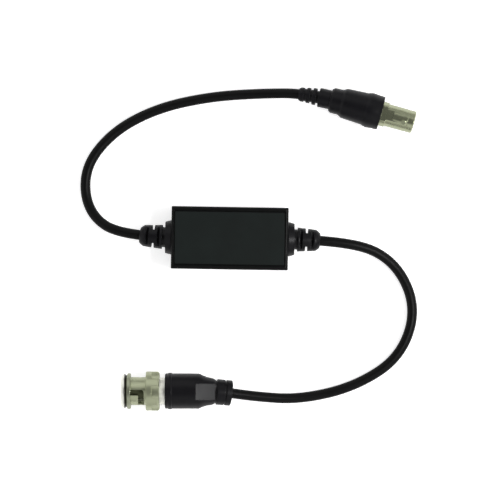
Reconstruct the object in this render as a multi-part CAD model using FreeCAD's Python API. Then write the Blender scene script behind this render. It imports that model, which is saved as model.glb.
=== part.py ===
"""In-line surge protector for one coaxial video line: a sealed box between a plug and a jack.

Millimetres and degrees. The origin is the centre of the box's underside, with +X along the box
to the plug's lead, +Y towards the jack and +Z up. Everything lies on the plane z = 0.
"""
import FreeCAD
import Part
import math
import os

# Modelling: how far fused shapes run into each other, and how far a cut runs past a surface
weld = 0.5
cut_past = 1.0

# Box
box_length = 49.5
box_width = 26.5
box_height = 17.0
wall = 1.8
seam_height = 8.5
long_edge_radius = 1.2
corner_radius = 0.4
tongue_width = 0.7
tongue_height = 1.2
tongue_play = 0.1
panel_frame_x = 1.05
panel_frame_y = 1.7
panel_thickness = 0.45
panel_sunk = 0.15
panel_gap = 0.5
panel_corner_radius = 0.5

# Leads
lead_diameter = 4.3
core_diameter = 2.3
wire_diameter = 0.8
braid_tail_diameter = 0.9
jacket_inside = 0.75
jack_bend = 46.0
plug_bend = 40.6
corner_share = 0.45

# Strain reliefs
relief_neck_diameter = 8.6
relief_play = 0.05
relief_flange_diameter = 14.8
relief_flange_taper = 0.7
relief_flange_length = 2.7
relief_inner_diameter = 11.4
relief_inner_length = 1.6
relief_sleeve_diameter = 10.3
relief_sleeve_end_diameter = 9.1
relief_groove_length = 1.3
relief_sleeve_length = 7.7
relief_tip_length = 1.8
relief_tip_diameter = 6.4
relief_slot_count = 3
relief_first_slot = 1.5
relief_slot_pitch = 2.35
relief_slot_width = 1.1
relief_slot_core = 5.8

# Circuit board and what it carries
board_end_gap = 2.05
board_side_gap = 1.45
board_thickness = 1.6
post_diameter = 4.0
post_inset = 3.2
pip_diameter = 1.8
pip_height = 1.1
pip_play = 0.1
leg_diameter = 0.7
leg_bend = 0.84
leg_reach = 1.6
hole_play = 0.1
solder_diameter = 2.0
solder_height = 0.8
solder_rim = 0.1
gas_tube_diameter = 5.5
gas_tube_length = 4.4
gas_tube_cap = 0.8
gas_tube_cap_step = 0.1
gas_tube_x = -9.5
resistor_diameter = 2.4
resistor_length = 6.3
resistor_x = 0.6
diode_diameter = 2.7
diode_length = 5.2
diode_pitch = 8.4
diode_x = 9.8
body_rounding = 0.12
strip_length = 3.4
wire_past_core = 1.8
solder_overlap = 0.3
tail_play = 0.05
core_pad_past_strip = 1.0
core_pad_foot = 2.6
core_pad_top = 1.4
core_pad_over_wire = 0.5
braid_gap = 0.05
braid_straight = 1.3
braid_down = 2.6
braid_down_aside = 1.6
braid_end = 5.0
braid_end_aside = 2.2
braid_pad_back = 0.6
braid_pad_foot = 1.6
braid_pad_top = 1.2
braid_pad_height = 0.8

# Jack
jack_front = (77.5, 50.55)
jack_heading = 165.4
jack_barrel_diameter = 9.6
jack_bore = 8.1
jack_bore_depth = 9.0
jack_chamfer = 0.4
jack_groove_place = 2.7
jack_groove_width = 0.35
jack_groove_depth = 0.2
lug_diameter = 2.0
lug_span = 11.0
lug_place = 4.5
lug_turn = -17.0
lug_root = 0.2
spanner_flats = 8.7
spanner_start = 9.2
jack_collar_diameter = 10.6
jack_collar_start = 12.0
jack_collar_end = 14.5
jack_seat_step = 0.2
jack_seat_length = 4.5
jack_crimp_length = 6.5
jack_insulator_boss = 4.7
jack_insulator_front = 3.3
jack_insulator_length = 9.7
jack_contact_diameter = 2.1
jack_contact_front = 3.7
jack_contact_depth = 8.7
jack_contact_slit = 0.25
jack_contact_slit_length = 4.5
contact_inset = 1.0
core_gap = 0.3

# Jack boot
jack_boot_profile = (
    (0.0, 14.4),
    (2.5, 14.5),
    (5.1, 15.0),
    (6.8, 14.2),
    (7.2, 13.8),
    (16.2, 12.8),
    (17.2, 11.6),
    (18.0, 10.9),
    (21.3, 10.8),
    (22.3, 9.4),
)
jack_boot_band_diameter = 8.2
jack_boot_band_length = 5.0
jack_boot_fins = (7.2, 6.6, 6.1)
jack_boot_fin_length = 1.5
jack_boot_fin_pitch = 2.65
jack_boot_core = 5.4
jack_boot_tip = 0.6

# Plug
plug_front = (-45.05, -65.71)
plug_heading = 0.9
rest_gap = 0.05
mating_play = 0.1
nut_rim_height = 1.6
nut_rim_length = 3.95
nut_lip_chamfer = 0.8
nut_lip_step = 0.35
nut_rim_groove = 1.7
nut_rim_groove_length = 0.85
nut_rim_groove_depth = 0.8
nut_sleeve_wall = 1.1
nut_sleeve_length = 6.45
nut_front_wall = 1.9
nut_collar_wall = 1.85
nut_disc_length = 2.5
nut_flutes = 6
flute_depth = 1.0
flute_cutter_radius = 6.0
nut_chamfer = 0.6
nut_collar_edge = 0.3
nut_ring_edge = 0.1
lug_play = 0.2
slot_first_angle = 4.0
slot_branch = 8.45
slot_turn = 76.0
detent_turn = 8.0
detent_back = 0.5
plug_contact_front = 3.0
plug_contact_wall = 0.55
plug_slit = 0.5
plug_slit_length = 6.5
neck_diameter = 11.5
flange_length = 0.8
washer_play = 0.1
spring_seat = 0.75
running_play = 0.1
nut_travel = 0.8
washer_thickness = 0.25
washer_spare = 0.5
ring_thickness = 0.6
ring_seat_depth = 0.35
ring_play = 0.05
ring_cover = 0.7
ring_opening = 30.0
gasket_length = 0.8
pin_diameter = 1.35
pin_front = 3.3
pin_tip_diameter = 0.6075
pin_point_length = 0.5
pin_step = 1.5
pin_shank_diameter = 2.0
wire_in_contact = 2.5
plug_insulator_front = 8.2
plug_insulator_length = 8.9
neck_shown = 2.3
neck_in_boot = 1.6
plug_crimp_length = 9.4

# Plug boot
plug_boot_diameter = 15.0
plug_boot_edge = 0.3
plug_boot_lip_edge = 0.2
plug_boot_lip_diameter = 15.6
plug_boot_lip_start = 1.3
plug_boot_lip_length = 1.7
plug_boot_profile = ((14.4, 15.0), (16.2, 13.4), (17.9, 12.2), (20.3, 11.3), (21.4, 10.1))
plug_boot_rib_diameter = 10.9
plug_boot_rib_lengths = (3.2, 2.2)
plug_boot_groove_diameter = 9.7
plug_boot_groove_length = 0.6
facet_start = 13.0
facet_width = 7.0
facet_start_depth = 0.9
facet_slope = 17.5

# Crimped ends of the leads
ferrule_wall = 0.6
ferrule_play = 0.03
ferrule_over_lead = 4.0
ferrule_gap = 0.1

# Worked out from the values above
lead_radius = lead_diameter / 2
half_box = box_length / 2
lead_start = half_box - wall - relief_inner_length - jacket_inside
relief_sleeve_start = half_box + relief_flange_length + relief_groove_length
relief_reach = relief_sleeve_start + relief_sleeve_length + relief_tip_length
panel_length = box_length - 2 * (panel_frame_x + panel_gap)
panel_width = box_width - 2 * (panel_frame_y + panel_gap)
board_length = box_length - 2 * (wall + relief_inner_length + board_end_gap)
board_width = box_width - 2 * (wall + board_side_gap)
board_top = seam_height - core_diameter / 2
board_bottom = board_top - board_thickness
tail_bore = core_diameter + 2 * tail_play

jack_seat_diameter = jack_barrel_diameter - 2 * jack_seat_step
jack_boot_front = jack_collar_end
jack_seat_end = jack_boot_front + jack_seat_length
jack_jacket_end = jack_seat_end + jack_crimp_length
jack_insulator_end = jack_insulator_front + jack_insulator_length
jack_boot_band_start = jack_boot_profile[-1][0]
jack_boot_fin_gap = jack_boot_fin_pitch - jack_boot_fin_length
jack_boot_fins_start = jack_boot_band_start + jack_boot_band_length + jack_boot_fin_gap
jack_boot_fins_end = jack_boot_fins_start + len(jack_boot_fins) * jack_boot_fin_pitch - jack_boot_fin_gap
jack_boot_length = jack_boot_fins_end + jack_boot_tip
jack_height = max(diameter for _, diameter in jack_boot_profile) / 2 + rest_gap

nut_bore = jack_barrel_diameter + 2 * mating_play
nut_sleeve_diameter = nut_bore + 2 * nut_sleeve_wall
nut_rim_diameter = nut_sleeve_diameter + 2 * nut_rim_height
nut_lip_diameter = nut_rim_diameter - 2 * nut_lip_step
nut_rim_groove_diameter = nut_rim_diameter - 2 * nut_rim_groove_depth
nut_ring_start = nut_rim_groove + nut_rim_groove_length
nut_cavity_diameter = neck_diameter + 2 * spring_seat
nut_collar_diameter = nut_cavity_diameter + 2 * nut_collar_wall
nut_collar_start = nut_rim_length + nut_sleeve_length
nut_shoulder = nut_collar_start + nut_front_wall
channel_radius = lug_span / 2 + lug_play
slot_width = lug_diameter + 2 * lug_play
flange_end = nut_shoulder + flange_length
flange_diameter = nut_cavity_diameter - 2 * running_play
spring_gap = 2 * washer_thickness + nut_travel + washer_spare
washer_diameter = nut_cavity_diameter - 3 * running_play
washer_rise = (spring_gap - 3 * ring_play) / 2 - washer_thickness
ring_place = flange_end + spring_gap
ring_diameter = nut_cavity_diameter + 2 * ring_seat_depth
ring_bore = neck_diameter + 4 * running_play
nut_length = ring_place + ring_thickness + ring_cover
plug_contact_diameter = jack_bore
plug_contact_bore = plug_contact_diameter - 2 * plug_contact_wall
gasket_diameter = nut_bore - 2 * running_play
plug_insulator_end = plug_insulator_front + plug_insulator_length
plug_boot_front = nut_length + neck_shown
neck_end = plug_boot_front + neck_in_boot
plug_jacket_end = neck_end + plug_crimp_length
plug_boot_ribs_start = plug_boot_profile[-1][0]
facet_length = plug_boot_ribs_start - facet_start
plug_boot_grooves = len(plug_boot_rib_lengths) * plug_boot_groove_length
plug_boot_length = plug_boot_ribs_start + sum(plug_boot_rib_lengths) + plug_boot_grooves
plug_height = nut_collar_diameter / 2 + rest_gap

X_AXIS = FreeCAD.Vector(1, 0, 0)
Y_AXIS = FreeCAD.Vector(0, 1, 0)
Z_AXIS = FreeCAD.Vector(0, 0, 1)
ORIGIN = FreeCAD.Vector(0, 0, 0)

pieces = {}


def vector(x, y, z):
    return FreeCAD.Vector(x, y, z)


def block(x_size, y_size, z_low, z_high, x=0.0, y=0.0):
    """A box centred on (x, y) between two heights."""
    return Part.makeBox(x_size, y_size, z_high - z_low, vector(x - x_size / 2, y - y_size / 2, z_low))


def rod(diameter, length, start, axis=Z_AXIS):
    return Part.makeCylinder(diameter / 2, length, start, axis)


def turned(profile):
    """A solid turned about the X axis from (distance, diameter) corners."""
    corners = [vector(distance, 0, diameter / 2) for distance, diameter in profile]
    outline = Part.makePolygon(corners + corners[:1])
    return Part.Face(outline).revolve(ORIGIN, X_AXIS, 360)


def bush(start, end, outside, inside):
    """A plain tube about the X axis."""
    return turned([(start, inside), (start, outside), (end, outside), (end, inside)])


def joined(shapes):
    result = shapes[0]
    for shape in shapes[1:]:
        result = result.fuse(shape)
    return result.removeSplitter()


def around_x(shape, angle):
    copy = shape.copy()
    copy.rotate(ORIGIN, X_AXIS, angle)
    return copy


def set_down(shape, front, heading, height):
    """Moves a piece from its own axis to the place and heading of its connector."""
    copy = shape.copy()
    copy.rotate(ORIGIN, Z_AXIS, heading)
    copy.translate(vector(front[0], front[1], height))
    return copy


def along(front, heading, height, distance):
    """The point at a distance behind a connector's front, on its axis."""
    angle = math.radians(heading)
    return vector(front[0] + distance * math.cos(angle), front[1] + distance * math.sin(angle), height)


def rounded_route(points, share, name=None):
    """Straight runs joined by tangent arcs that take the same share of the shorter run."""
    edges = []
    radii = []
    place = points[0]
    for before, corner, after in zip(points, points[1:], points[2:]):
        towards = (corner - before).normalize()
        away = (after - corner).normalize()
        half_turn = towards.getAngle(away) / 2
        setback = share * min((corner - before).Length, (after - corner).Length)
        radius = setback / math.tan(half_turn)
        arc_start = corner - towards * setback
        arc_end = corner + away * setback
        inward = (away - towards).normalize()
        arc_middle = corner + inward * (radius / math.cos(half_turn) - radius)
        edges.append(Part.LineSegment(place, arc_start).toShape())
        edges.append(Part.Arc(arc_start, arc_middle, arc_end).toShape())
        radii.append(radius)
        place = arc_end
    edges.append(Part.LineSegment(place, points[-1]).toShape())
    if name:
        print(name, "radii", [round(radius, 1) for radius in radii])
    return edges


def swept(edges, diameter):
    """A round bar along a route."""
    first = edges[0]
    start = first.valueAt(first.FirstParameter)
    heading = first.tangentAt(first.FirstParameter)
    section = Part.Wire([Part.Circle(start, heading, diameter / 2).toShape()])
    return Part.Wire(edges).makePipeShell([section], True, False)


def station(edges, distance):
    """The point at a distance along a route."""
    for edge in edges[:-1]:
        if distance <= edge.Length:
            break
        distance -= edge.Length
    else:
        edge = edges[-1]
    return edge.valueAt(edge.getParameterByLength(distance))


def stretch(edges, start, end):
    """The part of a route between two distances."""
    kept = []
    passed = 0.0
    for edge in edges:
        low = max(start - passed, 0.0)
        high = min(end - passed, edge.Length)
        if high - low > 1e-6:
            first = edge.getParameterByLength(low)
            last = edge.getParameterByLength(high)
            kept.append(edge.Curve.toShape(first, last))
        passed += edge.Length
    return kept


def collar_on(edges, start, length, diameter):
    """A short round collar standing across a route."""
    near = station(edges, start)
    far = station(edges, start + length)
    return rod(diameter, (far - near).Length, near, far - near)


# Leads: each leaves its relief straight, comes down to the surface and lies on it in one loop,
# and rises again to its connector
left_route = [
    vector(-lead_start, 0, seam_height),
    vector(-45.5, 0, seam_height),
    vector(-60.7, 9.3, lead_radius),
    vector(-63.2, 28.2, lead_radius),
    vector(-51.6, 44.2, lead_radius),
    vector(-33.0, 54.8, lead_radius),
    vector(-10.0, 60.4, lead_radius),
    vector(14.0, 62.3, lead_radius),
    along(jack_front, jack_heading, jack_height, jack_bend),
    along(jack_front, jack_heading, jack_height, jack_jacket_end),
]
right_route = [
    vector(lead_start, 0, seam_height),
    vector(49.5, 0, seam_height),
    vector(70.0, -7.6, lead_radius),
    vector(80.4, -27.8, lead_radius),
    vector(73.9, -49.5, lead_radius),
    vector(54.4, -62.6, lead_radius),
    vector(31.0, -68.4, lead_radius),
    vector(12.5, -67.4, 4.7),
    along(plug_front, plug_heading, plug_height, plug_bend),
    along(plug_front, plug_heading, plug_height, plug_jacket_end),
]


def lead(name, route):
    edges = rounded_route(route, corner_share, name)
    tube = swept(edges, lead_diameter)
    length = sum(edge.Length for edge in edges)
    section = math.pi * lead_radius**2
    print(name, "length", round(length, 1), "volume ratio", round(tube.Volume / (section * length), 4))
    return tube


left_lead = lead("left_lead", left_route)
right_lead = lead("right_lead", right_route)
jack_path = rounded_route(left_route[::-1], corner_share)
plug_path = rounded_route(right_route[::-1], corner_share)
pieces["left_lead"] = left_lead
pieces["right_lead"] = right_lead


# Box: two moulded shells that meet at the leads' height, tongue in groove, welded shut
def shell_block(z_low, z_high, inset):
    return block(box_length - 2 * inset, box_width - 2 * inset, z_low, z_high)


def edges_where(shape, chosen):
    return [edge for edge in shape.Edges if chosen(edge.CenterOfMass, edge)]


def rounded_box():
    body = shell_block(0, box_height, 0)
    upright = edges_where(body, lambda centre, edge: abs(centre.z - box_height / 2) < 0.01)
    body = body.makeFillet(corner_radius, upright)
    tops = edges_where(
        body,
        lambda centre, edge: abs(centre.x) + abs(centre.z - box_height) < 0.01 and edge.Length > 10,
    )
    body = body.makeFillet(long_edge_radius, tops)
    bottoms = edges_where(
        body, lambda centre, edge: abs(centre.x) < 0.01 and abs(centre.z) < 0.01 and edge.Length > 10
    )
    return body.makeFillet(corner_radius, bottoms)


def tongue(extra):
    middle = wall / 2
    outer = middle - tongue_width / 2 - extra
    inner = middle + tongue_width / 2 + extra
    top = seam_height + tongue_height + extra
    ring = shell_block(seam_height - 0.01, top, outer)
    return ring.cut(shell_block(seam_height - cut_past, top + cut_past, inner))


post_places = [
    (side_x * (board_length / 2 - post_inset), side_y * (board_width / 2 - post_inset))
    for side_x in (-1, 1)
    for side_y in (-1, 1)
]
box_form = rounded_box()
hollow = shell_block(wall, box_height - wall, wall)
neck_hole = rod(
    relief_neck_diameter + 2 * relief_play,
    box_length + 2 * cut_past,
    vector(-half_box - cut_past, 0, seam_height),
    X_AXIS,
)

bottom = box_form.common(shell_block(-cut_past, seam_height, -cut_past)).cut(hollow)
bottom = bottom.fuse(tongue(0))
for x, y in post_places:
    bottom = bottom.fuse(rod(post_diameter, board_bottom - wall + weld, vector(x, y, wall - weld)))
    bottom = bottom.fuse(rod(pip_diameter, pip_height + weld, vector(x, y, board_bottom - weld)))
pieces["housing_bottom"] = bottom.cut(neck_hole).removeSplitter()

top = box_form.common(shell_block(seam_height, box_height + cut_past, -cut_past)).cut(hollow)
top = top.cut(tongue(tongue_play))
panel_bottom = box_height - panel_sunk - panel_thickness
recess_length = panel_length + 2 * panel_gap
recess_width = panel_width + 2 * panel_gap
top = top.cut(block(recess_length, recess_width, panel_bottom, box_height + cut_past))
presser_foot = board_top + pip_play
presser_length = box_height - wall + weld - presser_foot
for x, y in post_places:
    top = top.fuse(rod(post_diameter, presser_length, vector(x, y, presser_foot)))
pieces["housing_top"] = top.cut(neck_hole).removeSplitter()

panel = block(panel_length, panel_width, panel_bottom, panel_bottom + panel_thickness)
panel_middle = panel_bottom + panel_thickness / 2
panel_corners = edges_where(panel, lambda centre, edge: abs(centre.z - panel_middle) < 0.01)
pieces["top_panel"] = panel.makeFillet(panel_corner_radius, panel_corners)


# Strain reliefs: moulded round the leads, each held by a flange on both sides of its wall
def strain_relief(side, tube):
    inner_face = half_box - wall
    sleeve_start = relief_sleeve_start
    profile = [
        (inner_face - relief_inner_length, 0),
        (inner_face - relief_inner_length, relief_inner_diameter),
        (inner_face, relief_inner_diameter),
        (inner_face, relief_neck_diameter),
        (half_box, relief_neck_diameter),
        (half_box, relief_flange_diameter),
        (half_box + relief_flange_length, relief_flange_diameter - 2 * relief_flange_taper),
        (half_box + relief_flange_length, relief_neck_diameter),
        (sleeve_start, relief_neck_diameter),
        (sleeve_start, relief_sleeve_diameter),
        (sleeve_start + relief_sleeve_length, relief_sleeve_end_diameter),
        (relief_reach, relief_tip_diameter),
        (relief_reach, 0),
    ]
    body = turned(profile)
    for number in range(relief_slot_count):
        middle = sleeve_start + relief_first_slot + number * relief_slot_pitch
        slot = block(relief_slot_width, 20, relief_slot_core / 2, 10, middle)
        for turn in (0, 180):
            body = body.cut(around_x(slot, turn + 90 * (number % 2)))
    if side < 0:
        body.rotate(ORIGIN, Z_AXIS, 180)
    body.translate(vector(0, 0, seam_height))
    return body.cut(tube)


pieces["left_relief"] = strain_relief(-1, left_lead)
pieces["right_relief"] = strain_relief(1, right_lead)

# Circuit board with its holes, and the parts soldered to it
holes = []
legs = []
solder = []


def leg(x, y, height, reach_x, reach_y):
    """A wire from a body's end, bent down through the board and soldered below."""
    start = vector(x, y, height)
    corner = vector(x + reach_x, y + reach_y, height)
    foot = vector(corner.x, corner.y, board_bottom - solder_height - solder_overlap)
    share = leg_bend / (corner - start).Length
    wire = swept(rounded_route([start, corner, foot], min(share, corner_share)), leg_diameter)
    hole_start = vector(corner.x, corner.y, board_bottom - cut_past)
    holes.append(rod(leg_diameter + 2 * hole_play, board_thickness + 2 * cut_past, hole_start))
    joint = Part.makeCone(
        leg_diameter / 2 + solder_rim,
        solder_diameter / 2,
        solder_height,
        vector(corner.x, corner.y, board_bottom - solder_height),
    )
    solder.append(joint.cut(wire))
    return wire


def axial(length, diameter, x, y, along_x):
    """A small round body lying on the board with a leg at each end."""
    height = board_top + diameter / 2
    axis = X_AXIS if along_x else Y_AXIS
    start = vector(x, y, height) - axis * (length / 2)
    body = rod(diameter, length, start, axis)
    rims = [edge for edge in body.Edges if edge.Closed]
    body = body.makeFillet(diameter * body_rounding, rims)
    for sign in (-1, 1):
        end = vector(x, y, height) + axis * (sign * length / 2)
        reach = axis * (sign * leg_reach)
        legs.append(leg(end.x, end.y, height, reach.x, reach.y))
    return body


tube_height = board_top + gas_tube_diameter / 2
half_tube = gas_tube_length / 2
pieces["gas_tube"] = rod(
    gas_tube_diameter, gas_tube_length, vector(gas_tube_x, -half_tube, tube_height), Y_AXIS
)
caps = []
for sign in (-1, 1):
    face = vector(gas_tube_x, sign * half_tube, tube_height)
    cap = rod(gas_tube_diameter - 2 * gas_tube_cap_step, gas_tube_cap, face, Y_AXIS * sign)
    cap_leg = leg(gas_tube_x, sign * (half_tube + gas_tube_cap), tube_height, 0, sign * leg_reach)
    caps.append(cap.fuse(cap_leg).removeSplitter())
pieces["gas_tube_caps"] = Part.makeCompound(caps)

pieces["line_resistor"] = axial(resistor_length, resistor_diameter, resistor_x, 0, True)
pieces["clamp_diodes"] = Part.makeCompound(
    [axial(diode_length, diode_diameter, diode_x, side * diode_pitch / 2, True) for side in (-1, 1)]
)
pieces["component_legs"] = Part.makeCompound(legs)

# Stripped ends of the leads inside the box
core_ends = []
core_wires = []
braid_tails = []
for side, tube in ((-1, left_lead), (1, right_lead)):
    face = side * lead_start
    heading = X_AXIS * -side
    reach = strip_length + wire_past_core
    wire = rod(wire_diameter, reach, vector(face, 0, seam_height), heading)
    insulation = rod(core_diameter, strip_length, vector(face, 0, seam_height), heading).cut(wire)
    core_ends.append(insulation)
    core_wires.append(wire)
    pad_x = face - side * (strip_length + core_pad_past_strip)
    pad_height = seam_height + core_pad_over_wire - board_top
    pad = Part.makeCone(core_pad_foot / 2, core_pad_top / 2, pad_height, vector(pad_x, 0, board_top))
    solder.append(pad.cut(wire).cut(insulation))
    low = board_top + braid_tail_diameter / 2
    offset = (core_diameter + braid_tail_diameter) / 2 + braid_gap
    route = [
        vector(face, offset, seam_height),
        vector(face - side * braid_straight, offset, seam_height),
        vector(face - side * braid_down, offset + braid_down_aside, low),
        vector(face - side * braid_end, offset + braid_end_aside, low),
    ]
    tail = swept(rounded_route(route, corner_share), braid_tail_diameter)
    braid_tails.append(tail)
    share = braid_pad_back / (braid_end - braid_down)
    pad_y = offset + braid_end_aside - share * (braid_end_aside - braid_down_aside)
    pad_place = vector(face - side * (braid_end - braid_pad_back), pad_y, board_top)
    pad = Part.makeCone(braid_pad_foot / 2, braid_pad_top / 2, braid_pad_height, pad_place)
    solder.append(pad.cut(tail))
pieces["core_insulation"] = Part.makeCompound(core_ends)
pieces["core_wires"] = Part.makeCompound(core_wires)
pieces["braid_tails"] = Part.makeCompound(braid_tails)
pieces["solder_joints"] = Part.makeCompound(solder)

board = block(board_length, board_width, board_bottom, board_top)
for x, y in post_places:
    pip_hole_start = vector(x, y, board_bottom - cut_past)
    board = board.cut(rod(pip_diameter + 2 * pip_play, board_thickness + 2 * cut_past, pip_hole_start))
for hole in holes:
    board = board.cut(hole)
pieces["circuit_board"] = board


# Plug: everything about its own axis first, distances from the front of the coupling nut
def on_plug(shape):
    return set_down(shape, plug_front, plug_heading, plug_height)


def radial_rod(diameter, distance, angle):
    """A bar standing out from the axis at an angle from the top, towards -Y."""
    return around_x(rod(diameter, 12, vector(distance, 0, 0)), angle)


def window(first_angle):
    """The bayonet slot: straight in along the sleeve, then a quarter turn towards -Y to its seat."""
    inner = nut_bore / 2 - cut_past
    outer = nut_sleeve_diameter / 2 + cut_past
    ring = bush(nut_rim_length, nut_length, 2 * outer, 2 * inner)
    entry = block(2 * (slot_branch - nut_rim_length), slot_width, inner, outer, nut_rim_length)
    corners = [
        vector(slot_branch - slot_width / 2, 0, inner),
        vector(slot_branch + slot_width / 2, 0, inner),
        vector(slot_branch + slot_width / 2, 0, outer),
        vector(slot_branch - slot_width / 2, 0, outer),
    ]
    branch = Part.Face(Part.makePolygon(corners + corners[:1])).revolve(ORIGIN, X_AXIS, slot_turn)
    last_angle = first_angle + slot_turn
    return [
        around_x(entry, first_angle).common(ring),
        around_x(branch, first_angle),
        radial_rod(slot_width, slot_branch, first_angle).common(ring),
        radial_rod(slot_width, slot_branch, last_angle).common(ring),
        radial_rod(slot_width, slot_branch - detent_back, last_angle + detent_turn).common(ring),
    ]


def coupling_nut():
    rear = nut_length
    body = turned(
        [
            (0, nut_bore),
            (0, nut_lip_diameter - 2 * nut_lip_chamfer),
            (nut_lip_chamfer, nut_lip_diameter),
            (nut_rim_groove, nut_lip_diameter),
            (nut_rim_groove, nut_rim_groove_diameter),
            (nut_ring_start, nut_rim_groove_diameter),
            (nut_ring_start, nut_rim_diameter - 2 * nut_ring_edge),
            (nut_ring_start + nut_ring_edge, nut_rim_diameter),
            (nut_rim_length - 2 * nut_ring_edge, nut_rim_diameter),
            (nut_rim_length, nut_rim_diameter - 4 * nut_ring_edge),
            (nut_rim_length, nut_sleeve_diameter),
            (nut_collar_start, nut_sleeve_diameter),
            (nut_collar_start, nut_collar_diameter - 2 * nut_collar_edge),
            (nut_collar_start + nut_collar_edge, nut_collar_diameter),
            (rear - nut_chamfer, nut_collar_diameter),
            (rear, nut_collar_diameter - 2 * nut_chamfer),
            (rear, nut_cavity_diameter),
            (nut_shoulder, nut_cavity_diameter),
            (nut_shoulder, nut_bore),
        ]
    )
    inner = nut_bore / 2 - cut_past
    cutter_distance = nut_collar_diameter / 2 - flute_depth + flute_cutter_radius
    flute_start = nut_collar_start + nut_disc_length
    flute = rod(2 * flute_cutter_radius, rear, vector(flute_start, 0, cutter_distance), X_AXIS)
    for number in range(nut_flutes):
        body = body.cut(around_x(flute, number * 360 / nut_flutes))
    groove_start = ring_place - ring_play
    groove_end = ring_place + ring_thickness + ring_play
    body = body.cut(bush(groove_start, groove_end, ring_diameter + 2 * ring_play, nut_bore))
    for first_angle in (slot_first_angle, slot_first_angle + 180):
        for cutter in window(first_angle):
            body = body.cut(cutter)
        channel = block(2 * nut_rim_length, slot_width, inner, channel_radius, nut_rim_length / 2)
        body = body.cut(around_x(channel, first_angle))
    return body


pieces["coupling_nut"] = on_plug(coupling_nut())

ring = bush(ring_place, ring_place + ring_thickness, ring_diameter, ring_bore)
gap_width = ring_diameter * math.sin(math.radians(ring_opening / 2))
ring = ring.cut(block(4 * ring_thickness, gap_width, ring_bore / 2 - cut_past, ring_diameter, ring_place))
pieces["nut_ring"] = on_plug(ring)

# Two curved spring washers, back to back, press the ring away from the flange
washer_radius = (washer_diameter**2 / 4 + washer_rise**2) / (2 * washer_rise)
washers = []
washer_blank = bush(flange_end, ring_place, washer_diameter, neck_diameter + 2 * washer_play)
for number in (0, 1):
    if number == 0:
        crown = flange_end + ring_play + washer_rise + washer_thickness
        centre = crown - washer_radius - washer_thickness
    else:
        crown = ring_place - ring_play - washer_rise - washer_thickness
        centre = crown + washer_radius + washer_thickness
    outer = rod(2 * (washer_radius + washer_thickness), 40, vector(centre, -20, 0), Y_AXIS)
    inner = rod(2 * washer_radius, 40, vector(centre, -20, 0), Y_AXIS)
    washers.append(on_plug(washer_blank.common(outer.cut(inner))))
pieces["spring_washers"] = Part.makeCompound(washers)

pin_end = plug_insulator_end - contact_inset
body = turned(
    [
        (plug_contact_front, plug_contact_bore),
        (plug_contact_front, plug_contact_diameter),
        (nut_shoulder, plug_contact_diameter),
        (nut_shoulder, flange_diameter),
        (flange_end, flange_diameter),
        (flange_end, neck_diameter),
        (neck_end, neck_diameter),
        (neck_end, lead_diameter),
        (plug_jacket_end, lead_diameter),
        (plug_jacket_end, tail_bore),
        (plug_insulator_end, tail_bore),
        (plug_insulator_end, plug_contact_bore),
    ]
)
slit = block(2 * plug_slit_length, plug_slit, -8, 8, plug_contact_front)
for turn in (45, 135):
    body = body.cut(around_x(slit, turn))
pieces["plug_body"] = on_plug(body)

pieces["plug_gasket"] = on_plug(
    bush(nut_shoulder - gasket_length, nut_shoulder, gasket_diameter, plug_contact_diameter)
)
pin = turned(
    [
        (pin_front, 0),
        (pin_front, pin_tip_diameter),
        (pin_front + pin_point_length, pin_diameter),
        (plug_insulator_front + pin_step, pin_diameter),
        (plug_insulator_front + pin_step, pin_shank_diameter),
        (pin_end, pin_shank_diameter),
        (pin_end, 0),
    ]
)
wire_start = pin_end - wire_in_contact
plug_wire = rod(wire_diameter, plug_jacket_end - wire_start, vector(wire_start, 0, 0), X_AXIS)
core_start = pin_end + core_gap
plug_core = rod(core_diameter, plug_jacket_end - core_start, vector(core_start, 0, 0), X_AXIS)
insulator_place = vector(plug_insulator_front, 0, 0)
plug_insulator = rod(plug_contact_bore, plug_insulator_length, insulator_place, X_AXIS)
tail_hole = rod(tail_bore, plug_insulator_length, vector(pin_end, 0, 0), X_AXIS)
plug_insulator = plug_insulator.cut(pin).cut(tail_hole)
pieces["plug_pin"] = on_plug(pin.cut(plug_wire))
pieces["plug_insulator"] = on_plug(plug_insulator)
pieces["plug_core_wire"] = on_plug(plug_wire)
pieces["plug_core_insulation"] = on_plug(plug_core.cut(plug_wire))


def ferrule(start, jacket_end):
    inside = lead_diameter + 2 * ferrule_play
    outside = inside + 2 * ferrule_wall
    return bush(start, jacket_end + ferrule_over_lead, outside, inside)


def crimp_room(start, jacket_end):
    """The space inside a ferrule, round the body's tail and the lead."""
    length = jacket_end + ferrule_over_lead - start
    return rod(lead_diameter + 2 * ferrule_play, length, vector(start, 0, 0), X_AXIS)


pieces["plug_ferrule"] = on_plug(ferrule(neck_end + ferrule_gap, plug_jacket_end))


# Plug boot: a straight grip, a taper with one flat, and a ribbed tail that follows the lead
def plug_station(distance):
    return plug_boot_front + distance - plug_jacket_end


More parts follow.
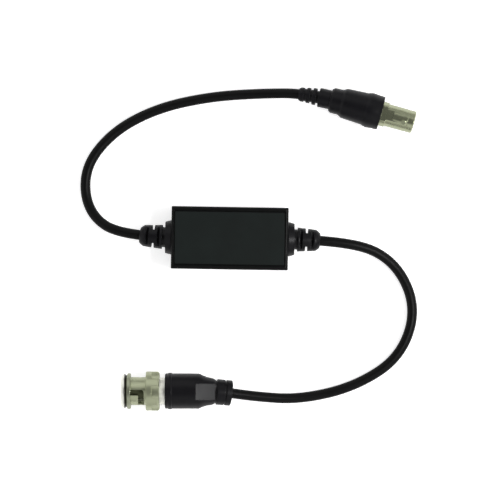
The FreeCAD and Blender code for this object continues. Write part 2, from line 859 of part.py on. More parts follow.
def plug_boot():
    lip_start = plug_boot_lip_start
    lip_end = lip_start + plug_boot_lip_length
    grip = [
        (0, 0),
        (0, plug_boot_diameter - 2 * plug_boot_edge),
        (plug_boot_edge, plug_boot_diameter),
        (lip_start, plug_boot_diameter),
        (lip_start + plug_boot_lip_edge, plug_boot_lip_diameter),
        (lip_end - plug_boot_lip_edge, plug_boot_lip_diameter),
        (lip_end, plug_boot_diameter),
    ]
    profile = grip + list(plug_boot_profile) + [(plug_boot_ribs_start, 0)]
    head = turned(profile)
    facet = block(4 * facet_length, facet_width, 0, 2 * plug_boot_diameter)
    facet.rotate(ORIGIN, Y_AXIS, facet_slope)
    facet.translate(vector(facet_start, 0, plug_boot_diameter / 2 - facet_start_depth))
    facet_middle = facet_start + facet_length / 2
    facet = facet.common(block(facet_length, facet_width, 0, plug_boot_diameter, facet_middle))
    head = head.cut(facet)
    head.translate(vector(plug_boot_front, 0, 0))
    shapes = [on_plug(head)]
    start = plug_station(plug_boot_ribs_start)
    end = plug_station(plug_boot_length)
    shapes.append(swept(stretch(plug_path, start - 2 * weld, end), plug_boot_groove_diameter))
    for rib_length in plug_boot_rib_lengths:
        start += plug_boot_groove_length
        shapes.append(collar_on(plug_path, start, rib_length, plug_boot_rib_diameter))
        start += rib_length
    return joined(shapes)


boot = plug_boot().cut(right_lead).cut(pieces["plug_ferrule"])
boot = boot.cut(on_plug(rod(neck_diameter, neck_end, ORIGIN, X_AXIS)))
pieces["plug_boot"] = boot.cut(on_plug(crimp_room(neck_end, plug_jacket_end)))


# Jack: distances from the front of its barrel
def on_jack(shape):
    return set_down(shape, jack_front, jack_heading, jack_height)


groove_end = jack_groove_place + jack_groove_width
groove_diameter = jack_barrel_diameter - 2 * jack_groove_depth
barrel = turned(
    [
        (0, jack_bore + 0.6),
        (0, jack_barrel_diameter - 2 * jack_chamfer),
        (jack_chamfer, jack_barrel_diameter),
        (jack_groove_place, jack_barrel_diameter),
        (jack_groove_place, groove_diameter),
        (groove_end, groove_diameter),
        (groove_end, jack_barrel_diameter),
        (jack_collar_start, jack_barrel_diameter),
        (jack_collar_start, jack_collar_diameter - 0.4),
        (jack_collar_start + 0.2, jack_collar_diameter),
        (jack_collar_end, jack_collar_diameter),
        (jack_collar_end, jack_seat_diameter),
        (jack_seat_end, jack_seat_diameter),
        (jack_seat_end, lead_diameter),
        (jack_jacket_end, lead_diameter),
        (jack_jacket_end, tail_bore),
        (jack_insulator_end, tail_bore),
        (jack_insulator_end, jack_bore),
        (0.4, jack_bore),
    ]
)
spanner_length = jack_collar_end - spanner_start
for sign in (-1, 1):
    flat = block(spanner_length, 20, 0, 10, spanner_start + spanner_length / 2)
    flat.translate(vector(0, 0, spanner_flats / 2 if sign > 0 else -spanner_flats / 2 - 10))
    barrel = barrel.cut(flat)
lug_hole = rod(jack_bore + 2 * lug_root, lug_place + lug_diameter, ORIGIN, X_AXIS)
lugs = []
for turn in (lug_turn, lug_turn + 180):
    lug = rod(lug_diameter, lug_span / 2, vector(lug_place, 0, 0)).cut(lug_hole)
    lugs.append(around_x(lug, turn))
jack_body = joined([barrel] + lugs)

contact_end = jack_insulator_end - contact_inset
contact = turned(
    [
        (jack_contact_front, pin_diameter),
        (jack_contact_front, jack_contact_diameter),
        (contact_end, jack_contact_diameter),
        (contact_end, 0),
        (jack_contact_depth, 0),
        (jack_contact_depth, pin_diameter),
    ]
)
contact = contact.cut(block(2 * jack_contact_slit_length, jack_contact_slit, -3, 3, jack_contact_front))
wire_start = contact_end - wire_in_contact
jack_wire = rod(wire_diameter, jack_jacket_end - wire_start, vector(wire_start, 0, 0), X_AXIS)
core_start = contact_end + core_gap
jack_core = rod(core_diameter, jack_jacket_end - core_start, vector(core_start, 0, 0), X_AXIS)
jack_insulator = turned(
    [
        (jack_insulator_front, pin_diameter + 0.1),
        (jack_insulator_front, jack_insulator_boss - 0.4),
        (jack_insulator_front + 0.2, jack_insulator_boss),
        (jack_bore_depth, jack_insulator_boss),
        (jack_bore_depth, jack_bore),
        (jack_insulator_end, jack_bore),
        (jack_insulator_end, tail_bore),
        (contact_end, tail_bore),
        (contact_end, jack_contact_diameter),
        (jack_contact_front, jack_contact_diameter),
        (jack_contact_front, pin_diameter + 0.1),
    ]
)
pieces["jack_body"] = on_jack(jack_body)
pieces["jack_contact"] = on_jack(contact.cut(jack_wire))
pieces["jack_insulator"] = on_jack(jack_insulator)
pieces["jack_core_wire"] = on_jack(jack_wire)
pieces["jack_core_insulation"] = on_jack(jack_core.cut(jack_wire))
pieces["jack_ferrule"] = on_jack(ferrule(jack_seat_end + ferrule_gap, jack_jacket_end))


# Jack boot: a waisted grip in steps, and a finned tail that bends with the lead
def jack_station(distance):
    return jack_boot_front + distance - jack_jacket_end


def jack_boot():
    head = turned([(0, 0)] + list(jack_boot_profile) + [(jack_boot_profile[-1][0], 0)])
    head.translate(vector(jack_boot_front, 0, 0))
    shapes = [on_jack(head)]
    band = jack_station(jack_boot_band_start)
    band_end = band + jack_boot_band_length
    end = jack_station(jack_boot_length)
    shapes.append(swept(stretch(jack_path, band - weld, band_end), jack_boot_band_diameter))
    shapes.append(swept(stretch(jack_path, band_end - weld, end), jack_boot_core))
    for number, fin_diameter in enumerate(jack_boot_fins):
        place = jack_station(jack_boot_fins_start + number * jack_boot_fin_pitch)
        shapes.append(collar_on(jack_path, place, jack_boot_fin_length, fin_diameter))
    return joined(shapes)


boot = jack_boot().cut(left_lead).cut(pieces["jack_ferrule"])
boot = boot.cut(on_jack(rod(jack_seat_diameter, jack_seat_end, ORIGIN, X_AXIS)))
pieces["jack_boot"] = boot.cut(on_jack(crimp_room(jack_seat_end, jack_jacket_end)))

os.makedirs("parts", exist_ok=True)
for name, shape in pieces.items():
    shape.exportStep("parts/" + name + ".step")
    print(name, len(shape.Solids), round(shape.Volume, 2), shape.isValid())
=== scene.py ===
"""In-line surge protector for a coaxial video line, lying on a pale table, seen from above."""
import bpy
import math
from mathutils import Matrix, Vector


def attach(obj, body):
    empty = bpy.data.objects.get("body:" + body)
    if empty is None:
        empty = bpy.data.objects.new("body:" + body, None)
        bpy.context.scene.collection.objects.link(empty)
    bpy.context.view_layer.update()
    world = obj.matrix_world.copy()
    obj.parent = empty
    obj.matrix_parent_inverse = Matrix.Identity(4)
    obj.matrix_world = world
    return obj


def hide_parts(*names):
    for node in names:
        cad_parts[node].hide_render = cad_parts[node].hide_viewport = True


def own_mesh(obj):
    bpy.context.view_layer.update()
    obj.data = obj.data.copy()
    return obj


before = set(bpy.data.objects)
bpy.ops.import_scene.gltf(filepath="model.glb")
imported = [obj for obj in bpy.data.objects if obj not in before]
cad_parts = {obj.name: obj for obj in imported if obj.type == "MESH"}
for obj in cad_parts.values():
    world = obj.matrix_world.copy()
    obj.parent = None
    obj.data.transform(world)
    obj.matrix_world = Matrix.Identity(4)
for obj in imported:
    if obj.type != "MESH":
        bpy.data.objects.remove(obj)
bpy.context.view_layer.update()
mm = 0.001

# The table, the light and the camera
# A plain white table that glows a little, under soft lamps on four sides and a darker sky, so that
# black plastic stays black and rounded metal shows bright and dark bands. One small high lamp
# catches the flat on the plug's boot.
image_side = 500
pixels_per_mm = 2.35
scale_height = 8 * mm
sensor = 36.0
lens = 200.0
view_centre = Vector((8.65 * mm, -4.84 * mm, 0))
camera_roll = math.radians(0.92)
camera_near = 0.05
camera_far = 20
table_side = 6
table_drop = 0.02 * mm
table_tones = (0.85, 0.88)
table_patches_per_metre = 40
table_patch_detail = 4
table_roughness = 0.75
table_glow = 0.61
table_glow_aside = 0.36
sky_tones = ((0.5, 0.5), (0.78, 0.4), (0.9, 0.12), (1, 0.06))
ring_lamps = ((20, 1.6), (110, 1.6), (200, 1.4), (290, 1.4))
ring_lamp_distance = 0.75
ring_lamp_height = 0.6
ring_lamp_size = 0.9
high_lamp_place = Vector((0.46, -0.06, 0.72))
high_lamp_power = 3.6
high_lamp_size = 0.2


def material(name, colour, roughness, metallic=0.0):
    """A new material with its plain values, and its shader, ready for its own nodes."""
    made = bpy.data.materials.new(name + "_finish")
    made.use_nodes = True
    shader = made.node_tree.nodes["Principled BSDF"]
    shader.inputs["Base Color"].default_value = (*colour, 1)
    shader.inputs["Roughness"].default_value = roughness
    shader.inputs["Metallic"].default_value = metallic
    return made, shader


def node(made, kind, **values):
    """A node in a material, a world or a group, with its named inputs set."""
    new = getattr(made, "node_tree", made).nodes.new(kind)
    for key, value in values.items():
        new.inputs[key].default_value = value
    return new


def link(made, output, socket):
    """Joins an output to an input in a material, a world or a group."""
    getattr(made, "node_tree", made).links.new(output, socket)


def grey(tone):
    """A colour without hue."""
    return (tone, tone, tone)


def ramp(made, stops):
    """A colour ramp through its (position, colour) stops, from the lowest up."""
    new = node(made, "ShaderNodeValToRGB")
    elements = new.color_ramp.elements
    elements.remove(elements[1])
    elements[0].position = stops[0][0]
    elements[0].color = (*stops[0][1], 1)
    for position, colour in stops[1:]:
        elements.new(position).color = (*colour, 1)
    return new


def drifting(made, shader, scale, detail, stops):
    """Lets a surface's colour drift through the stops of a ramp, in soft patches."""
    spot = node(made, "ShaderNodeTexCoord")
    patches = node(made, "ShaderNodeTexNoise", Scale=scale, Detail=detail)
    shades = ramp(made, stops)
    link(made, spot.outputs["Object"], patches.inputs["Vector"])
    link(made, patches.outputs["Fac"], shades.inputs["Fac"])
    link(made, shades.outputs["Color"], shader.inputs["Base Color"])


bpy.ops.object.select_all(action="DESELECT")
bpy.ops.mesh.primitive_plane_add(size=table_side, location=(0, 0, -table_drop))
table = bpy.context.active_object
table.name = "table_top"
table_finish, table_shader = material("table", grey(table_tones[0]), table_roughness)
table_stops = list(enumerate(grey(tone) for tone in table_tones))
drifting(table_finish, table_shader, table_patches_per_metre, table_patch_detail, table_stops)
seen_by = node(table_finish, "ShaderNodeLightPath")
glow = ramp(table_finish, ((0, grey(table_glow_aside)), (1, grey(1))))
link(table_finish, seen_by.outputs["Is Camera Ray"], glow.inputs["Fac"])
link(table_finish, glow.outputs["Color"], table_shader.inputs["Emission Color"])
table_shader.inputs["Emission Strength"].default_value = table_glow
table.data.materials.append(table_finish)

world = bpy.data.worlds.new("studio")
world.use_nodes = True
facing = node(world, "ShaderNodeTexCoord")
parts = node(world, "ShaderNodeSeparateXYZ")
sky = ramp(world, [(height, grey(tone)) for height, tone in sky_tones])
link(world, facing.outputs["Generated"], parts.inputs["Vector"])
link(world, parts.outputs["Z"], sky.inputs["Fac"])
link(world, sky.outputs["Color"], world.node_tree.nodes["Background"].inputs["Color"])
bpy.context.scene.world = world
bpy.context.scene.view_settings.view_transform = "Standard"


def lamp(name, place, power, size):
    """A square soft lamp, turned to the middle of the table."""
    bpy.ops.object.light_add(type="AREA", location=place)
    made = bpy.context.active_object
    made.name = name
    made.data.energy = power
    made.data.size = size
    made.rotation_euler = (-place).to_track_quat("-Z", "Y").to_euler()


for turn, power in ring_lamps:
    aside = Vector((math.cos(math.radians(turn)), math.sin(math.radians(turn)), 0))
    place = aside * ring_lamp_distance + Vector((0, 0, ring_lamp_height))
    lamp(f"lamp_{turn}", place, power, ring_lamp_size)
lamp("lamp_high", high_lamp_place, high_lamp_power, high_lamp_size)

field = image_side / pixels_per_mm * mm
camera_place = view_centre + Vector((0, 0, scale_height + field * lens / sensor))
bpy.ops.object.camera_add(location=camera_place, rotation=(0, 0, camera_roll))
camera = bpy.context.active_object
camera.data.lens = lens
camera.data.sensor_width = sensor
camera.data.clip_start = camera_near
camera.data.clip_end = camera_far
bpy.context.scene.camera = camera

# Moulded box
# Two black shells of moulded plastic, spark-eroded to a fine even grain, with a thin matt panel
# laid in the recess of the upper one. They are welded along the seam in their sides.
grain_detail = 3
grain_roughness = 0.6
gloss_patches_per_metre = 140
drift_per_metre = 90
drift_detail = 5
drift_range = (0.35, 0.7)
sharp_angle = math.radians(35)
flat_angle = math.radians(1)
join_distance = 0.001 * mm
upper_shell_edge = 0.15
lower_shell_edge = 0.12
panel_edge = 0.08


def grain_group():
    """Fine moulded grain: a height for bump and an uneven gloss."""
    group = bpy.data.node_groups.new("moulded_grain", "ShaderNodeTree")
    for name, value in (("Grain per metre", 3000.0), ("Gloss", 0.4), ("Unevenness", 0.08)):
        socket = group.interface.new_socket(name, in_out="INPUT", socket_type="NodeSocketFloat")
        socket.default_value = value
    for name in ("Height", "Roughness"):
        group.interface.new_socket(name, in_out="OUTPUT", socket_type="NodeSocketFloat")
    start = node(group, "NodeGroupInput")
    end = node(group, "NodeGroupOutput")
    spot = node(group, "ShaderNodeTexCoord")
    grain = node(group, "ShaderNodeTexNoise", Detail=grain_detail, Roughness=grain_roughness)
    patches = node(group, "ShaderNodeTexNoise", Detail=grain_detail)
    patches.inputs["Scale"].default_value = gloss_patches_per_metre
    centred = node(group, "ShaderNodeMath")
    centred.operation = "SUBTRACT"
    centred.inputs[1].default_value = 0.5
    spread = node(group, "ShaderNodeMath")
    spread.operation = "MULTIPLY_ADD"
    link(group, spot.outputs["Object"], grain.inputs["Vector"])
    link(group, spot.outputs["Object"], patches.inputs["Vector"])
    link(group, start.outputs["Grain per metre"], grain.inputs["Scale"])
    link(group, patches.outputs["Fac"], centred.inputs[0])
    link(group, centred.outputs[0], spread.inputs[0])
    link(group, start.outputs["Unevenness"], spread.inputs[1])
    link(group, start.outputs["Gloss"], spread.inputs[2])
    link(group, grain.outputs["Fac"], end.inputs["Height"])
    link(group, spread.outputs[0], end.inputs["Roughness"])
    return group


moulded_grain = grain_group()


def grained(made, shader, gloss, grains, depth, unevenness):
    """Gives a surface its fine grain, so many per metre and so many millimetres deep."""
    effect = node(made, "ShaderNodeGroup")
    effect.node_tree = moulded_grain
    effect.inputs["Grain per metre"].default_value = grains
    effect.inputs["Gloss"].default_value = gloss
    effect.inputs["Unevenness"].default_value = unevenness
    bump = node(made, "ShaderNodeBump", Strength=1.0, Distance=depth * mm)
    link(made, effect.outputs["Height"], bump.inputs["Height"])
    link(made, bump.outputs["Normal"], shader.inputs["Normal"])
    link(made, effect.outputs["Roughness"], shader.inputs["Roughness"])


def moulded(name, colour, gloss, grains, depth, unevenness=0.1, shine=0.5, lighter=1.35):
    """A plastic or rubber with moulded grain and a slight drift to a lighter colour."""
    made, shader = material(name, colour, gloss)
    shader.inputs["Specular IOR Level"].default_value = shine
    grained(made, shader, gloss, grains, depth, unevenness)
    light = [part * lighter for part in colour]
    stops = list(zip(drift_range, (colour, light)))
    drifting(made, shader, drift_per_metre, drift_detail, stops)
    return made


def painted(name, made):
    """Gives a carried-over solid its finish."""
    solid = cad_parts[name]
    solid.data.materials.clear()
    solid.data.materials.append(made)


def chosen(shape):
    """Makes one shape the only thing that the next operators act on."""
    bpy.ops.object.select_all(action="DESELECT")
    shape.select_set(True)
    bpy.context.view_layer.objects.active = shape


def softened(shape, edge, segments=2):
    """Rounds every sharp edge by so many millimetres and keeps flat faces flat in their shading."""
    chosen(shape)
    if edge:
        rounding = shape.modifiers.new("rounding", "BEVEL")
        rounding.width = edge * mm
        rounding.segments = segments
        rounding.limit_method = "ANGLE"
        rounding.angle_limit = sharp_angle
        rounding.use_clamp_overlap = False
        rounding.miter_outer = "MITER_ARC"
        bpy.ops.object.modifier_apply(modifier=rounding.name)
    bpy.ops.object.shade_smooth_by_angle(angle=sharp_angle)
    shading = shape.modifiers.new("shading", "WEIGHTED_NORMAL")
    shading.keep_sharp = True
    bpy.ops.object.modifier_apply(modifier=shading.name)


def fitted(shape, solid_name, finish, body="protector"):
    """Gives a piece its finish and its body, and hides the solid it stands for."""
    shape.data.materials.clear()
    shape.data.materials.append(finish)
    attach(shape, body)
    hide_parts(solid_name)
    return shape


def dressed(name, solid_name, edge, finish, body="protector", segments=2):
    """A finished copy of a solid, its triangles joined and its edges rounded, to stand for it."""
    shape = bpy.data.objects.new(name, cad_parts[solid_name].data.copy())
    bpy.context.scene.collection.objects.link(shape)
    chosen(shape)
    bpy.ops.object.mode_set(mode="EDIT")
    bpy.ops.mesh.select_all(action="SELECT")
    bpy.ops.mesh.remove_doubles(threshold=join_distance)
    bpy.ops.mesh.dissolve_limited(angle_limit=flat_angle)
    bpy.ops.object.mode_set(mode="OBJECT")
    softened(shape, edge, segments)
    return fitted(shape, solid_name, finish, body)


housing_plastic = moulded(
    "housing_plastic", (0.0010, 0.0013, 0.0013), gloss=0.40, grains=3200, depth=0.02, shine=0.13
)
panel_film = moulded(
    "panel_film", (0.0040, 0.0066, 0.0060), gloss=0.55, grains=4200, depth=0.015, shine=0.16
)
dressed("upper_shell", "housing_top", upper_shell_edge, housing_plastic, segments=3)
dressed("lower_shell", "housing_bottom", lower_shell_edge, housing_plastic)
dressed("recess_plate", "top_panel", panel_edge, panel_film)

# Leads
# A 4.3 mm coaxial lead on each side, in a smooth black jacket. They leave the reliefs straight,
# come down to the table in one loose loop each and rise a little to their connectors.
lead_diameter = 4.3 * mm
lead_radius = lead_diameter / 2
lead_height = 8.5 * mm
lead_sides = 8
lead_steps = 24
jack_front = (77.5 * mm, 50.55 * mm)
jack_heading = math.radians(165.4)
jack_height = 7.55 * mm
jack_bend = 46.0 * mm
jack_jacket_end = 25.5 * mm
plug_front = (-45.05 * mm, -65.71 * mm)
plug_heading = math.radians(0.9)
plug_height = 8.40 * mm
plug_bend = 40.6 * mm
plug_jacket_end = 29.5 * mm


def behind(front, heading, height, distance):
    """The point at a distance behind a connector's front, on its axis."""
    across = front[0] + distance * math.cos(heading)
    along = front[1] + distance * math.sin(heading)
    return (across, along, height)


left_route = [
    (-0.0206, 0, lead_height),
    (-0.0455, 0, lead_height),
    (-0.0607, 0.0093, lead_radius),
    (-0.0632, 0.0282, lead_radius),
    (-0.0516, 0.0442, lead_radius),
    (-0.0330, 0.0548, lead_radius),
    (-0.0100, 0.0604, lead_radius),
    (0.0140, 0.0623, lead_radius),
    behind(jack_front, jack_heading, jack_height, jack_bend),
    behind(jack_front, jack_heading, jack_height, jack_jacket_end),
]
right_route = [
    (0.0206, 0, lead_height),
    (0.0495, 0, lead_height),
    (0.0700, -0.0076, lead_radius),
    (0.0804, -0.0278, lead_radius),
    (0.0739, -0.0495, lead_radius),
    (0.0544, -0.0626, lead_radius),
    (0.0310, -0.0684, lead_radius),
    (0.0125, -0.0674, 0.0047),
    behind(plug_front, plug_heading, plug_height, plug_bend),
    behind(plug_front, plug_heading, plug_height, plug_jacket_end),
]
lead_jacket = moulded(
    "lead_jacket",
    (0.0015, 0.0015, 0.0016),
    gloss=0.42,
    grains=700,
    depth=0.006,
    unevenness=0.12,
    shine=0.12,
)


def lead(name, route):
    """One lead, a smooth curve through its route's points."""
    curve = bpy.data.curves.new(name, "CURVE")
    curve.dimensions = "3D"
    curve.bevel_depth = lead_radius
    curve.bevel_resolution = lead_sides
    curve.resolution_u = lead_steps
    curve.use_fill_caps = True
    spline = curve.splines.new("NURBS")
    spline.points.add(len(route) - 1)
    for point, spot in zip(spline.points, route):
        point.co = (*spot, 1)
    spline.order_u = 3
    spline.use_endpoint_u = True
    made = bpy.data.objects.new(name, curve)
    bpy.context.scene.collection.objects.link(made)
    curve.materials.append(lead_jacket)
    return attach(made, "protector")


left_cord = lead("left_cord", left_route)
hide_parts("left_lead")
right_cord = lead("right_cord", right_route)
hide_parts("right_lead")


def line_of(cord):
    """The points of a lead's own smooth curve, from the box outwards."""
    bare = bpy.data.objects.new("bare_line", cord.data.copy())
    bare.data.bevel_depth = 0
    bpy.context.scene.collection.objects.link(bare)
    worked_out = bare.evaluated_get(bpy.context.evaluated_depsgraph_get())
    line = bpy.data.meshes.new_from_object(worked_out)
    points = [vertex.co.copy() for vertex in line.vertices]
    bpy.data.objects.remove(bare)
    return points


def on_line(line, spot, start):
    """Where a point of a piece made about the X axis lies when the axis follows a line."""
    remaining = spot.x - start
    number = 0
    while number < len(line) - 2 and remaining > (line[number + 1] - line[number]).length:
        remaining -= (line[number + 1] - line[number]).length
        number += 1
    run = line[number + 1] - line[number]
    straight = run.normalized()
    into = (line[number] - line[number - 1]).normalized() if number else straight
    out = (line[min(number + 2, len(line) - 1)] - line[number + 1]).normalized()
    first = (into + straight).normalized()
    last = (out + straight).normalized()
    ahead = first.lerp(last, min(max(remaining / run.length, 0.0), 1.0)).normalized()
    side = Vector((0, 0, 1)).cross(ahead).normalized()
    return line[number] + straight * remaining + side * spot.y + ahead.cross(side) * spot.z


# Strain reliefs
# One soft moulding at each end of the box, cast round the lead: a flange against the wall, and a
# slotted sleeve that lets the lead bend in a curve and gives way with it.
turning_steps = 96
relief_edge = 0.1
relief_slot_width = 1.1
relief_slot_core = 5.8
relief_slot_reach = 10
relief_slots = (30.25, 32.6, 34.95)
relief_flange_end = 27.45
relief_sleeve_start = 28.75
relief_outline = (
    (21.35, 4.4),
    (21.35, 11.4),
    (22.95, 11.4),
    (22.95, 8.6),
    (24.75, 8.6),
    (24.75, 14.8),
    (25.35, 14.5),
    (27.45, 13.4),
    (27.45, 8.6),
    (28.75, 8.6),
    (28.75, 10.3),
    (32.6, 9.7),
    (36.45, 9.1),
    (37.5, 7.75),
    (38.25, 6.4),
    (38.25, 4.4),
    (36.4, 4.4),
    (34.6, 4.4),
    (32.8, 4.4),
    (30.9, 4.4),
    (28.75, 4.4),
    (27.45, 4.4),
    (21.35, 4.4),
)
moulded_pvc = moulded(
    "moulded_pvc", (0.0025, 0.0024, 0.0034), gloss=0.38, grains=1500, depth=0.012, shine=0.18
)


def turned(name, outline):
    """A shape turned about the X axis from (distance, diameter) corners in millimetres."""
    corners = [Vector((place * mm, 0, diameter / 2 * mm)) for place, diameter in outline]
    bpy.ops.object.select_all(action="DESELECT")
    bpy.ops.mesh.primitive_plane_add(size=mm)
    shape = bpy.context.active_object
    shape.name = name
    bpy.ops.object.mode_set(mode="EDIT")
    bpy.ops.mesh.merge(type="CENTER")
    bpy.ops.transform.translate(value=corners[0])
    for before, after in zip(corners, corners[1:]):
        bpy.ops.mesh.extrude_vertices_move(TRANSFORM_OT_translate={"value": after - before})
    bpy.ops.mesh.select_all(action="SELECT")
    bpy.ops.mesh.spin(steps=turning_steps, angle=2 * math.pi, center=(0, 0, 0), axis=(1, 0, 0))
    bpy.ops.mesh.remove_doubles(threshold=join_distance)
    bpy.ops.mesh.normals_make_consistent(inside=False)
    bpy.ops.object.mode_set(mode="OBJECT")
    return shape


def cutting_block(x_size, y_size, z_low, z_high, x):
    """A plain block across the X axis between two heights, only ever used to cut."""
    centre = Vector((x, 0, (z_low + z_high) / 2)) * mm
    size = (x_size, y_size, z_high - z_low)
    bpy.ops.object.select_all(action="DESELECT")
    bpy.ops.mesh.primitive_cube_add(size=mm, location=centre, scale=size)
    block = bpy.context.active_object
    bpy.ops.object.transform_apply(location=True, rotation=True, scale=True)
    return block


def cut(shape, tool, turn=0.0):
    """Cuts a tool out of a shape, turned about the X axis, and puts the tool away."""
    tool.rotation_euler = (turn, 0, 0)
    carving = shape.modifiers.new("carving", "BOOLEAN")
    carving.operation = "DIFFERENCE"
    carving.solver = "EXACT"
    carving.object = tool
    chosen(shape)
    bpy.ops.object.modifier_apply(modifier=carving.name)
    bpy.data.objects.remove(tool)


def relief(name, side, line):
    """A relief made on its own axis, with the sleeve then laid along its lead."""
    shape = turned(name, relief_outline)
    low, high = relief_slot_core / 2, relief_slot_reach
    for number, place in enumerate(relief_slots):
        for turn in (0, 180):
            slot = cutting_block(relief_slot_width, 2 * high, low, high, place)
            cut(shape, slot, math.radians(turn + 90 * (number % 2)))
    softened(shape, relief_edge)
    for vertex in shape.data.vertices:
        straight = Vector((side * vertex.co.x, side * vertex.co.y, vertex.co.z + lead_height))
        share = (vertex.co.x / mm - relief_flange_end) / (relief_sleeve_start - relief_flange_end)
        bent = on_line(line, vertex.co, abs(line[0].x))
        vertex.co = straight.lerp(bent, min(max(share, 0.0), 1.0))
    return shape


fitted(relief("left_bend_relief", -1, line_of(left_cord)), "left_relief", moulded_pvc)
fitted(relief("right_bend_relief", 1, line_of(right_cord)), "right_relief", moulded_pvc)

# Circuit board
# A green double-sided board on four posts, with a gas discharge tube across the line, a series
# resistor and two clamp diodes. The leads' stripped ends are soldered straight onto it.
small_part_grain = 0.004
metal_grains = 900
metal_grain = 0.002


def plated(name, colour, gloss, unevenness=0.1):
    """A bright metal with faint handling marks."""
    made, shader = material(name, colour, gloss, metallic=1.0)
    grained(made, shader, gloss, metal_grains, metal_grain, unevenness)
    return made


def small_part(name, colour, gloss, grains, lighter=1.35):
    """A smooth plastic, ceramic or lacquer, as on the small parts inside."""
    return moulded(name, colour, gloss, grains, small_part_grain, lighter=lighter)


board_laminate = small_part("board_laminate", (0.010, 0.085, 0.035), gloss=0.3, grains=1200)
tube_ceramic = small_part("tube_ceramic", (0.75, 0.73, 0.68), gloss=0.35, grains=1500, lighter=1.1)
resistor_body = small_part("resistor_body", (0.20, 0.33, 0.45), gloss=0.3, grains=900)
diode_body = small_part("diode_body", (0.012, 0.012, 0.012), gloss=0.3, grains=900)
tinned_metal = plated("tinned_metal", (0.72, 0.72, 0.70), gloss=0.25)
solder = plated("solder", (0.66, 0.66, 0.64), gloss=0.3, unevenness=0.2)
core_foam = small_part("core_foam", (0.82, 0.82, 0.79), gloss=0.5, grains=1200, lighter=1.08)
copper = plated("copper", (0.80, 0.42, 0.27), gloss=0.3)
painted("circuit_board", board_laminate)
painted("gas_tube", tube_ceramic)
painted("line_resistor", resistor_body)
painted("clamp_diodes", diode_body)
painted("gas_tube_caps", tinned_metal)
painted("component_legs", tinned_metal)
painted("solder_joints", solder)
painted("core_insulation", core_foam)
painted("core_wires", copper)
painted("braid_tails", copper)

# Plug
# A turned brass body, nickel plated, with a bayonet nut that turns on it and is pulled back by
# two curved spring washers. A painted highlight makes the nut's lip and the body's neck bright;
# painted shade darkens the groove behind the lip, the rim behind it and the body's front inside
# the nut. The pin is gilt, in a white insulator.
nut_edge = 0.05
plug_shell_edge = 0.06
snap_ring_edge = 0.04
gasket_edge = 0.06
pin_edge = 0.03
plug_bead_edge = 0.06
nickel_tone = (0.41, 0.435, 0.295)
# Painted highlight: the bright that the nut's lip and the body's neck catch from the lamps.
painted_highlight_tone = (0.90, 0.90, 0.83)
# Painted shade in the groove behind the nut's lip.
painted_groove_shade_tone = (0.02, 0.02, 0.014)
# Painted shade on the nut's rim, behind the groove.
painted_rim_shade_tone = (0.34, 0.36, 0.26)
# Painted shade on the body's front inside the nut, seen through the nut's slots.
painted_inner_shade_tone = (0.08, 0.085, 0.05)
nut_bands = (
    (0, painted_highlight_tone),
    (1.1, painted_highlight_tone),
    (1.5, painted_groove_shade_tone),
    (2.3, painted_groove_shade_tone),
    (2.6, painted_rim_shade_tone),
    (3.8, painted_rim_shade_tone),
    (4.2, nickel_tone),
    (20, nickel_tone),
)
shell_bands = ((0, painted_inner_shade_tone), (13.0, painted_inner_shade_tone), (14.0, painted_highlight_tone), (40, painted_highlight_tone))
nickel_plate = plated("nickel_plate", (0.40, 0.425, 0.285), gloss=0.24)
spring_steel = plated("spring_steel", (0.56, 0.56, 0.54), gloss=0.3)
gold_plate = plated("gold_plate", (0.90, 0.62, 0.24), gloss=0.2)
white_insulator = small_part(
    "white_insulator", (0.80, 0.80, 0.78), gloss=0.4, grains=900, lighter=1.1
)
gasket_rubber = moulded("gasket_rubber", (0.30, 0.05, 0.03), gloss=0.5, grains=1500, depth=0.006)


def banded(name, bands, gloss):
    """Plated metal in bands, from (millimetres behind the plug's front, colour) pairs."""
    made = plated(name, bands[0][1], gloss)
    reach = bands[-1][0] * mm
    axis = Vector((math.cos(plug_heading), math.sin(plug_heading), 0))
    spot = node(made, "ShaderNodeTexCoord")
    along = node(made, "ShaderNodeVectorMath")
    along.operation = "DOT_PRODUCT"
    along.inputs[1].default_value = axis
    share = node(made, "ShaderNodeMath")
    share.operation = "MULTIPLY_ADD"
    share.inputs[1].default_value = 1 / reach
    share.inputs[2].default_value = -axis.dot(Vector((*plug_front, 0))) / reach
    tones = ramp(made, [(place * mm / reach, colour) for place, colour in bands])
    link(made, spot.outputs["Object"], along.inputs[0])
    link(made, along.outputs["Value"], share.inputs[0])
    link(made, share.outputs[0], tones.inputs["Fac"])
    link(made, tones.outputs["Color"], made.node_tree.nodes["Principled BSDF"].inputs["Base Color"])
    return made


# These two materials carry painted highlight and painted shade in their bands.
nut_nickel = banded("nut_nickel", nut_bands, gloss=0.36)
shell_nickel = banded("shell_nickel", shell_bands, gloss=0.5)
dressed("bayonet_nut", "coupling_nut", nut_edge, nut_nickel, "nut")
dressed("plug_shell", "plug_body", plug_shell_edge, shell_nickel)
painted("plug_ferrule", nickel_plate)
dressed("snap_ring", "nut_ring", snap_ring_edge, spring_steel, "nut_carriage")
dressed("face_gasket", "plug_gasket", gasket_edge, gasket_rubber)
dressed("gilt_pin", "plug_pin", pin_edge, gold_plate)
dressed("plug_bead", "plug_insulator", plug_bead_edge, white_insulator)
painted("plug_core_wire", copper)
painted("plug_core_insulation", core_foam)

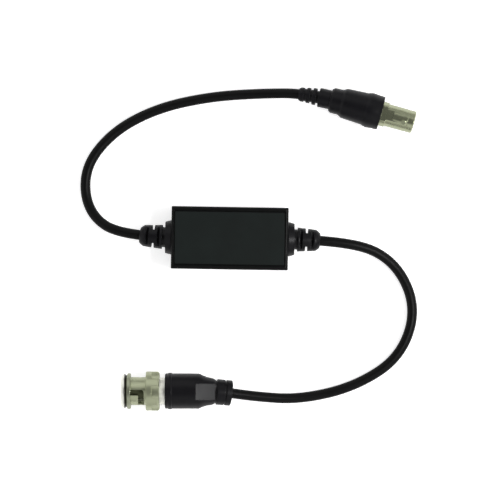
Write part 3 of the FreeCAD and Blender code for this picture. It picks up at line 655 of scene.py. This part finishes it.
washers = dressed("wave_washers", "spring_washers", 0, spring_steel)
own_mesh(washers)

# Plug boot
# Soft black vinyl moulded over the plug's neck and the lead: a straight grip with a raised lip, a
# taper with one flat on top, and a tail of two ribs that gives way with the lead.
boot_edge = 0.12
plug_boot_front = 18.5
facet_start = 13.0
facet_end = 21.4
facet_width = 7.0
facet_height = 6.6
facet_slope = math.radians(17.5)
wedge_top = 10
plug_boot_outline = (
    (0, 11.6),
    (0, 14.4),
    (0.3, 15.0),
    (1.3, 15.0),
    (1.5, 15.6),
    (2.8, 15.6),
    (3.0, 15.0),
    (8.7, 15.0),
    (14.4, 15.0),
    (16.2, 13.4),
    (17.9, 12.2),
    (20.3, 11.3),
    (21.4, 10.1),
    (21.4, 9.7),
    (22.0, 9.7),
    (22.0, 10.9),
    (23.6, 10.9),
    (25.2, 10.9),
    (25.2, 9.7),
    (25.8, 9.7),
    (25.8, 10.9),
    (28.0, 10.9),
    (28.0, 4.4),
    (26.5, 4.4),
    (25.0, 4.4),
    (23.0, 4.4),
    (21.0, 4.4),
    (18.0, 4.4),
    (15.0, 4.4),
    (15.0, 5.7),
    (1.7, 5.7),
    (1.6, 11.6),
    (0, 11.6),
)


def overmoulding(name, outline, front, line, jacket_end, carve=None):
    """A boot turned on its own axis, carved, and laid along its lead behind the jacket's end."""
    shape = turned(name, [(front + place, diameter) for place, diameter in outline])
    if carve:
        cut(shape, carve)
    softened(shape, boot_edge, segments=3)
    for vertex in shape.data.vertices:
        vertex.co = on_line(line, vertex.co, jacket_end)
    return shape


def facet_wedge():
    """What the flat on top of the boot's taper takes away."""
    length = facet_end - facet_start
    middle = plug_boot_front + (facet_start + facet_end) / 2
    wedge = cutting_block(length, facet_width, facet_height, wedge_top, middle)
    bpy.ops.object.mode_set(mode="EDIT")
    bpy.ops.mesh.select_all(action="DESELECT")
    bpy.ops.object.mode_set(mode="OBJECT")
    for vertex in wedge.data.vertices:
        low = vertex.co.z < (facet_height + wedge_top) / 2 * mm
        vertex.select = low and vertex.co.x > middle * mm
    bpy.ops.object.mode_set(mode="EDIT")
    bpy.ops.transform.translate(value=(0, 0, -length * math.tan(facet_slope) * mm))
    bpy.ops.object.mode_set(mode="OBJECT")
    return wedge


plug_line = line_of(right_cord)[::-1]
plug_grip = overmoulding(
    "plug_grip", plug_boot_outline, plug_boot_front, plug_line, plug_jacket_end, facet_wedge()
)
fitted(plug_grip, "plug_boot", moulded_pvc)

# Jack
# The mating half: a nickel-plated barrel with two bayonet lugs and spanner flats, a gilt spring
# contact in a white insulator.
barrel_edge = 0.06
contact_edge = 0.03
jack_bead_edge = 0.05
dressed("jack_barrel", "jack_body", barrel_edge, nickel_plate)
painted("jack_ferrule", nickel_plate)
dressed("gilt_socket", "jack_contact", contact_edge, gold_plate)
dressed("jack_bead", "jack_insulator", jack_bead_edge, white_insulator)
painted("jack_core_wire", copper)
painted("jack_core_insulation", core_foam)

# Jack boot
# The same black vinyl over the jack's seat: a waisted grip in steps, a short band, and three thin
# fins on a core that bends with the lead.
jack_boot_front = 14.5
jack_boot_outline = (
    (0, 9.3),
    (0, 14.4),
    (2.5, 14.5),
    (5.1, 15.0),
    (6.8, 14.2),
    (7.2, 13.8),
    (16.2, 12.8),
    (17.2, 11.6),
    (18.0, 10.9),
    (21.3, 10.8),
    (22.3, 9.4),
    (22.3, 8.2),
    (24.8, 8.2),
    (27.3, 8.2),
    (27.3, 5.4),
    (28.45, 5.4),
    (28.45, 7.2),
    (29.95, 7.2),
    (29.95, 5.4),
    (31.1, 5.4),
    (31.1, 6.6),
    (32.6, 6.6),
    (32.6, 5.4),
    (33.75, 5.4),
    (33.75, 6.1),
    (35.25, 6.1),
    (35.25, 5.4),
    (35.85, 5.4),
    (35.85, 4.4),
    (33.0, 4.4),
    (30.0, 4.4),
    (27.0, 4.4),
    (24.0, 4.4),
    (21.0, 4.4),
    (18.0, 4.4),
    (15.0, 4.4),
    (15.0, 5.7),
    (4.6, 5.7),
    (4.5, 9.3),
    (0, 9.3),
)
jack_line = line_of(left_cord)[::-1]
jack_grip = overmoulding(
    "jack_grip", jack_boot_outline, jack_boot_front, jack_line, jack_jacket_end
)
fitted(jack_grip, "jack_boot", moulded_pvc)
